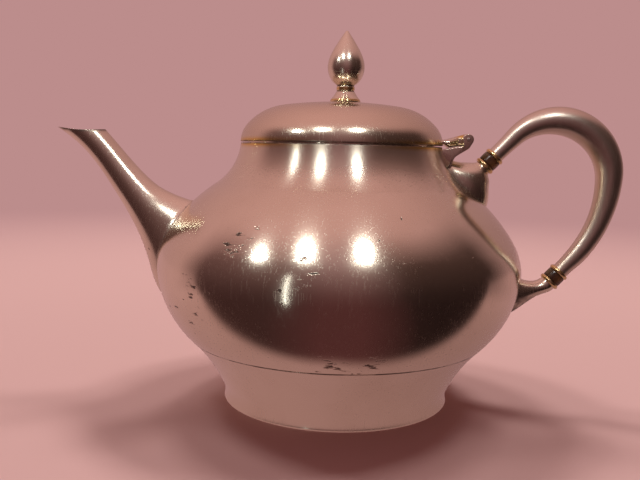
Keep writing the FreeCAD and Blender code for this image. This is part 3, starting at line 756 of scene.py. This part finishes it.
# spun about the finial's own axis, a little off the lid's centre
def spunFinial(*parts):
    profile = np.concatenate(parts) + (0, crownHeight)
    return closed(spun(profile, finial["columns"]) + (finial["x"], 0, 0))


# bud: a curve through five turned points, with a small round tip
def finialBud():
    curve = turnedCurve(finial["bud"], 80)
    seat, top = finial["bud"][0][1], finial["bud"][-1][1]
    wide, tall = finial["tip"]
    a = np.radians(np.linspace(15, 90, 5))
    tip = stacked(wide * np.cos(a), top - tall + tall * np.sin(a))
    points, quads = spunFinial([(pole, seat)], curve[:-1], tip)
    grime = 0.8 * np.clip(1 - (points[:, 2] - crownHeight - seat) / 0.5, 0, 1)
    piece("finialBud", [(points, quads)], castFinish, "lid", "silver_plate", "finial_bud", grime=grime)


# spool: a round-edged rim on the crown, a hollow flare and a half-round bead
def finialSpool():
    reach, top = finial["spoolRim"]
    edge, under = finial["rimRound"], finial["spoolFrom"]
    a = np.radians(np.linspace(-20, 80, 8))
    rim = stacked(reach - edge + edge * np.cos(a), top - edge + edge * np.sin(a))
    hollow = turnedCurve(finial["spoolHollow"], 22)[1:]
    waist, low, bulge, high = finial["bead"]
    b = np.radians(np.linspace(-90, 90, 14))
    beadHeight = (low + high) / 2 + (high - low) / 2 * np.sin(b)
    bead = stacked(waist + (bulge - waist) * np.cos(b), beadHeight)
    points, quads = spunFinial([(pole, under), (reach - 0.1, under)], rim, hollow, bead, [(pole, high)])
    h = points[:, 2] - crownHeight
    grime = 0.85 * np.maximum(nearTo(h - low, 0.25), nearTo(h - high, 0.3))
    brass = 0.8 * np.maximum(nearTo(h - top, 0.5), nearTo(h - 6.0, 0.8))
    piece("finialSpool", [(points, quads)], castFinish, "lid", "silver_plate", "finial_spool",
          grime=grime, brass=brass)


lidDome()
finialBud()
finialSpool()


hinge = dict(
    axis=(55.8, 118.6), knuckle=2.4, middle=6.0, side=4.4, gap=0.25, edge=0.3, corner=0.7, sink=0.5, pin=0.9,
    pinProud=0.3, pinEdge=0.25)
bracket = dict(
    foot=((44.0, 105.2), (48.8, 106.0), (49.3, 109.0), (50.2, 110.8), (52.3, 112.2)), crook=(53.9, 113.2),
    back=((53.9, 115.6), (46.5, 114.3), (44.0, 113.6)), elbow=(56.2, 114.6), saddle=(56.8, 54.1),
    saddleGap=0.35, saddleLap=0.6, inset=0.04, knuckleTurn=(-37, 202))
# (x, value) knots of the strap's half width, top and underside, the last of these without its final height
strap = dict(
    start=44.2, rows=90, columns=96, power=3.2, crown=0.25, brassFrom=49.5,
    wide=((44.0, 47.7, 52.0, 60.0), (6.4, 6.4, 2.95, 2.95)),
    top=((44.0, 46.2, 54.9, 60.0), (118.1, 118.25, 120.7, 120.7)),
    low=((45.6, 47.8, 53.9, 55.0), (116.2, 114.85, 115.95)))


# outline with softened corners: (1-t)^2 a + 2t(1-t) p + t^2 b at corner p, from a to b on its two sides
def softOutline(corners, reach):
    p = np.asarray(corners, float)
    before, after = np.roll(p, 1, axis=0) - p, np.roll(p, -1, axis=0) - p
    step = [np.minimum(reach, 0.45 * np.linalg.norm(v, axis=1))[:, None] * unit(v) for v in (before, after)]
    t = np.linspace(0, 1, 5)[None, :, None]
    a, b, p = (p + step[0])[:, None], (p + step[1])[:, None], p[:, None]
    return ((1 - t) ** 2 * a + 2 * t * (1 - t) * p + t ** 2 * b).reshape(-1, 2)


# slab between two Y values: the outline carried across, drawn in by the edge at both ends on a quarter circle
def slab(outline, low, high, edge):
    ahead = unit(np.roll(outline, -1, axis=0) - np.roll(outline, 1, axis=0))
    area = (outline[:, 0] * np.roll(outline[:, 1], -1) - np.roll(outline[:, 0], -1) * outline[:, 1]).sum()
    inwards = stacked(-ahead[:, 1], ahead[:, 0]) * np.sign(area)
    a = np.radians(np.linspace(0, 90, 5))
    drawn = edge * (1 - np.sin(a))
    start = low + edge * (1 - np.cos(a))
    y = np.concatenate([start, np.linspace(low + edge, high - edge, 7)[1:-1], (high + low) - start[::-1]])
    drawn = np.concatenate([drawn, np.zeros(5), drawn[::-1]])
    flat = outline + drawn[:, None, None] * inwards
    return stacked(flat[..., 0], y[:, None] + 0 * flat[..., 0], flat[..., 1])


# points nearer the pot's axis than a surface are moved out along X to lie just under it
def seatedOn(sheet, radiusAt):
    seat = np.sqrt(np.maximum((radiusAt(sheet[..., 2]) - hinge["sink"]) ** 2 - sheet[..., 1] ** 2, 0))
    return stacked(np.maximum(sheet[..., 0], seat), sheet[..., 1], sheet[..., 2])


def knuckleArc(radius, first, last, count):
    return np.array(hinge["axis"]) + radius * normalAt(np.linspace(first, last, count))


# two side blocks with a knuckle arm on each, and a saddle between them under the middle knuckle
def hingeBracket():
    half, side, inset = hinge["middle"] / 2 + hinge["gap"], hinge["side"], bracket["inset"]
    foot, back, elbow = bracket["foot"], bracket["back"], bracket["elbow"]
    floor = hinge["axis"][1] - hinge["knuckle"] - bracket["saddleGap"]
    block = foot + (bracket["crook"],) + back
    knuckle = knuckleArc(hinge["knuckle"], *bracket["knuckleTurn"], 15)
    arm = np.concatenate([knuckle, back[:1], foot[-1:], [elbow]])
    saddle = foot + (elbow,) + tuple((x, floor) for x in bracket["saddle"]) + back[1:]
    spans = []
    for outline, near, far in ((block, half, half + side), (arm, half + inset, half + side - inset)):
        spans += [(outline, near, far), (outline, -far, -near)]
    spans.append((saddle, -half - bracket["saddleLap"], half + bracket["saddleLap"]))
    shells = []
    for outline, low, high in spans:
        sheet = slab(softOutline(outline, hinge["corner"]), low, high, hinge["edge"])
        shells.append(closed(seatedOn(sheet, potRadius)))
    piece("hingeBracket", shells, castFinish, "pot", "silver_plate", "hinge_bracket")


# tongue: rounded-box sections |y/w|^n + |z/h|^n = 1 along X, narrowing to the middle knuckle
def hingeStrap():
    x, z = hinge["axis"]
    along = np.linspace(strap["start"], x, strap["rows"])
    wide, top = np.interp(along, *strap["wide"]), np.interp(along, *strap["top"])
    low = np.interp(along, strap["low"][0], strap["low"][1] + (z - hinge["knuckle"],))
    t = turnsRound(strap["columns"])
    power = 2 / strap["power"]
    y = np.sign(np.sin(t)) * np.abs(np.sin(t)) ** power
    h = np.sign(np.cos(t)) * np.abs(np.cos(t)) ** power
    crown = strap["crown"] * (1 - y ** 2)
    height = ((top + low) / 2)[:, None] + ((top - low) / 2)[:, None] * h + crown * (h > 0)
    sheet = stacked(along[:, None] + 0 * t, wide[:, None] * y, height)
    tongue = closed(seatedOn(sheet, lidRadius))
    half = hinge["middle"] / 2
    barrel = closed(slab(knuckleArc(hinge["knuckle"], 0, 354, 60), -half, half, hinge["edge"]))
    points = np.concatenate([tongue[0], barrel[0]])
    outwards = np.clip((points[:, 0] - strap["brassFrom"]) / 3, 0, 1)
    brass = 0.9 * outwards * np.clip((points[:, 2] - z) / 1.2, 0, 1)
    piece("hingeStrap", [tongue, barrel], castFinish, "lid", "silver_plate", "hinge_strap", brass=brass)


def hingePin():
    reach = hinge["middle"] / 2 + hinge["gap"] + hinge["side"] + hinge["pinProud"]
    rod = slab(knuckleArc(hinge["pin"], 0, 350, 36), -reach, reach, hinge["pinEdge"])
    piece("hingePin", [closed(rod)], pinFinish, "pot", "nickel_silver_pin", "hinge_pin")


hingeBracket()
hingeStrap()
hingePin()
print("lid, finial and hinge made")


# CAD nodes that stay, in better finishes
kept = dict(
    base_plate=plateFinish, mouth_bearer=plateFinish, strainer_plate=castFinish, lid_flange=plateFinish,
    upper_break_pins=pinFinish, lower_break_pins=pinFinish,
    finial_stud=brassFinish, finial_washer=brassFinish, finial_nut=brassFinish)
for nodeName, finish in kept.items():
    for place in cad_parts[nodeName].material_slots:
        place.material = finish
print("CAD nodes finished:", len(kept))


stage = dict(
    backdrop=(0.503, 0.266, 0.262, 1), floor=(0.66, 0.40, 0.37, 1), ambient=0.45,
    shadowedShine=(0.08, 0.2, 0.74, 0.95), floorShadeAside=-0.1, level=0.8, overhead=0.5, rightwards=-0.2, reach=6.0,
    fade=(0.3, 1.1))
stageCentre = np.array([0, 0, 0.06])  # middle of the belly, in metres


# disc on the floor plane: (r cos t, r sin t, 0), its far part glowing in the backdrop's colour so that no
# horizon shows, and all of it in reflections, where the glow is dimmer near the pot as a painted shadow and
# dimmer to the right as painted shade
def paleFloor():
    r = np.concatenate([[0.0], np.geomspace(0.05, stage["reach"], 40)]) / mm
    sheet = spun(stacked(r, 0 * r), 96)
    mesh = bpy.data.meshes.new("paleFloor")
    mesh.from_pydata(sheet.reshape(-1, 3) * mm, [], gridQuads(*sheet.shape[:2]).reshape(-1, 4))
    mesh.validate()
    floor = linked("paleFloor", mesh)
    finish, g, shader = startFinish("paleFloor")
    x, y, _ = g.split(g.place())
    away = g.maths("SQRT", g.timesPlus(y, y, g.times(x, x)))
    ends = dict(zip(("From Min", "From Max"), stage["fade"]))
    fade = g.node("MapRange", {"Value": away, **ends}, interpolation_type="SMOOTHSTEP").outputs[0]
    mirrored = g.node("LightPath").outputs["Is Glossy Ray"]
    ends = dict(zip(("From Min", "From Max", "To Min", "To Max"), stage["shadowedShine"]))
    shadowedShine = g.node("MapRange", {"Value": away, **ends}).outputs[0]
    aside = g.maths("DIVIDE", x, g.maths("MAXIMUM", away, 0.001))
    shadowedShine = g.timesPlus(aside, stage["floorShadeAside"], shadowedShine)
    level = g.timesPlus(mirrored, g.maths("SUBTRACT", shadowedShine, 1.0), 1.0)
    glow = g.node("Emission", {"Color": stage["backdrop"], "Strength": level})
    share = g.maths("MAXIMUM", fade, mirrored)
    g.fill(shader, {"Base Color": stage["floor"], "Roughness": 0.9, "Specular IOR Level": 0.0})
    g.shown(g.node("MixShader", {0: share, 1: shader.outputs[0], 2: glow.outputs[0]}))
    mesh.materials.append(finish)


# dark card in front of the pot, seen in reflections alone: it lies on the floor in front of a line, then
# rises on a sphere. Bearing and elevation are in radians, as seen from the middle of the belly.
card = dict(
    line=0.068, lean=0.055, bow=0.145, soft=0.012, middle=0.12, wide=(1.95, 1.58), high=(1.17, 0.86),
    slope=0.2, reach=0.62, floorGap=0.0015, upFrom=(-0.3, 0.1), lightFrom=(-0.3, 0.95), lighten=1.4,
    sides=(-0.6, 0.9), centreAt=0.04, centreWide=(0.62, 0.15),
    centre=((0.085, 0.026, 0.028, 1), (0.40, 0.225, 0.24, 1)),
    left=((0.046, 0.018, 0.018, 1), (0.25, 0.12, 0.12, 1)),
    right=((0.016, 0.0075, 0.0074, 1), (0.09, 0.045, 0.04, 1)))


def frontReflector():
    bearing = np.radians(np.linspace(-125, 125, 101))
    rise = np.radians(np.linspace(-78, 78, 101))[:, None]
    way = stacked(
        np.cos(rise) * np.sin(bearing), -np.cos(rise) * np.cos(bearing), np.sin(rise) + 0 * bearing)
    toFloor = (stageCentre[2] - card["floorGap"]) / np.maximum(-way[..., 2], 0.01)
    toFloor = np.where(way[..., 2] < -0.01, toFloor, 10)
    sheet = stageCentre + way * np.minimum(card["reach"], toFloor)[..., None]
    mesh = bpy.data.meshes.new("frontReflector")
    mesh.from_pydata(sheet.reshape(-1, 3), [], gridQuads(*sheet.shape[:2])[:, :-1].reshape(-1, 4))
    made = linked("frontReflector", mesh)
    for ray in ("camera", "diffuse", "transmission", "volume_scatter", "shadow"):
        setattr(made, "visible_" + ray, False)
    finish, g, shader = startFinish("frontReflector")
    g.tree.nodes.remove(shader)
    x, y, z = g.split(g.place())
    front = g.times(y, -1.0)
    flat = g.maths("SQRT", g.timesPlus(y, y, g.times(x, x)))
    turn = g.maths("ARCTAN2", x, front)
    lift = g.maths("ARCTAN2", g.maths("SUBTRACT", z, float(stageCentre[2])), flat)
    offside = g.maths("ABSOLUTE", g.maths("SUBTRACT", turn, card["middle"]))
    wide = g.ramped(offside, *card["wide"])
    high = g.ramped(g.timesPlus(offside, card["slope"], lift), *card["high"])
    ahead = g.timesPlus(g.maths("ABSOLUTE", x), card["bow"], g.timesPlus(x, card["lean"], front))
    beyond = g.ramped(ahead, card["line"], card["line"] + card["soft"])
    beyond = g.maths("MAXIMUM", beyond, g.ramped(lift, *card["upFrom"]))
    share = g.times(g.times(wide, high), beyond)
    middle = g.ramped(g.maths("ABSOLUTE", g.maths("SUBTRACT", turn, card["centreAt"])), *card["centreWide"])
    upwards = g.maths("POWER", g.ramped(lift, *card["lightFrom"]), card["lighten"])
    left, right, centre = (g.mixed(upwards, *card[part]) for part in ("left", "right", "centre"))
    colour = g.mixed(middle, g.mixed(g.ramped(turn, *card["sides"]), left, right), centre)
    dark = g.node("Emission", {"Color": colour, "Strength": 1.0})
    clear = g.node("BsdfTransparent")
    g.shown(g.node("MixShader", {0: share, 1: clear.outputs[0], 2: dark.outputs[0]}))
    mesh.materials.append(finish)


# object put at a place, with its own X, Y and Z along three directions
def aimed(made, place, *axes):
    made.matrix_world = Matrix.Translation(place) @ Matrix(stacked(*axes).tolist()).to_4x4()


# soft box: bearing from the front (right is above 0), elevation, distance, width, height in metres, power in
# watts, and whether it is one for the metal to mirror or one that lights the floor
lamps = (
    ("leftBox", -54.0, 40.0, 0.55, 0.03, 0.04, 0.2, True),
    ("middleBox", -25.0, 50.0, 0.55, 0.05, 0.045, 0.36, True),
    ("rightBox", 20.0, 51.0, 0.55, 0.05, 0.05, 0.36, True),
    ("stripBox", -23.2, 1.0, 0.2, 0.0035, 0.11, 0.005, True),
    ("farLeftBox", -118.0, 55.0, 2.6, 0.5, 0.5, 16.0, False),
    ("backLeftBox", -155.0, 60.0, 2.6, 0.5, 0.5, 17.0, False),
    ("backRightBox", 150.0, 62.0, 2.6, 0.5, 0.5, 15.0, False),
    ("farRightBox", 122.0, 62.0, 2.6, 0.5, 0.5, 15.0, False))


def softBoxes():
    for name, bearing, rise, away, width, height, power, mirrored in lamps:
        b, e = math.radians(bearing), math.radians(rise)
        back = np.array([math.cos(e) * math.sin(b), -math.cos(e) * math.cos(b), math.sin(e)])
        box = bpy.data.lights.new(name, "AREA")
        box.shape, box.size, box.size_y, box.energy = "RECTANGLE", width, height, power
        lamp = linked(name, box)
        lamp.visible_glossy, lamp.visible_diffuse, lamp.visible_camera = mirrored, not mirrored, False
        side = unit(np.cross([0, 0, 1.0], back))
        aimed(lamp, stageCentre + back * away, side, np.cross(back, side), back)


# backdrop colour at full strength for the camera, lighter overhead and darker to the right in reflections
# (level + overhead * z^2 + rightwards * x along the ray), and less of it as light on the floor
def paleWorld():
    world = bpy.data.worlds.new("paleWorld")
    bpy.context.scene.world = world
    world.use_nodes = True
    g = nodeGraph(world.node_tree)
    ray = g.node("LightPath").outputs
    x, _, z = g.split(g.place("Generated"))
    sky = g.timesPlus(x, stage["rightwards"], g.timesPlus(g.times(z, z), stage["overhead"], stage["level"]))
    mirrored = g.maths("MAXIMUM", ray["Is Glossy Ray"], ray["Is Transmission Ray"])
    level = g.timesPlus(mirrored, g.maths("SUBTRACT", sky, stage["ambient"]), stage["ambient"])
    level = g.maths("MAXIMUM", level, ray["Is Camera Ray"])
    g.fill(g.tree.nodes["Background"], {"Color": stage["backdrop"], "Strength": level})


# camera at the photograph's place: pitch below level, yaw off +Y and a small roll, with the lens from its
# focal length in pixels
view = dict(
    place=(0.0, -0.337, 0.112), pitch=6.85, yaw=-1.46, roll=1.4, focal=740.0, pixelsWide=640, sensor=36.0,
    near=0.01)


def photoCamera():
    p, w, r = (math.radians(view[key]) for key in ("pitch", "yaw", "roll"))
    ahead = np.array([math.sin(w) * math.cos(p), math.cos(w) * math.cos(p), -math.sin(p)])
    side = np.array([math.cos(w), -math.sin(w), 0.0])
    up = np.cross(side, ahead)
    across, above = math.cos(r) * side + math.sin(r) * up, math.cos(r) * up - math.sin(r) * side
    lens = bpy.data.cameras.new("photoCamera")
    lens.sensor_width = view["sensor"]
    lens.lens = view["focal"] / view["pixelsWide"] * view["sensor"]
    lens.clip_start = view["near"]
    camera = linked("photoCamera", lens)
    aimed(camera, view["place"], across, above, -ahead)
    bpy.context.scene.camera = camera


paleFloor()
frontReflector()
softBoxes()
paleWorld()
photoCamera()
bpy.context.scene.view_settings.view_transform = "Standard"
print("stage set")
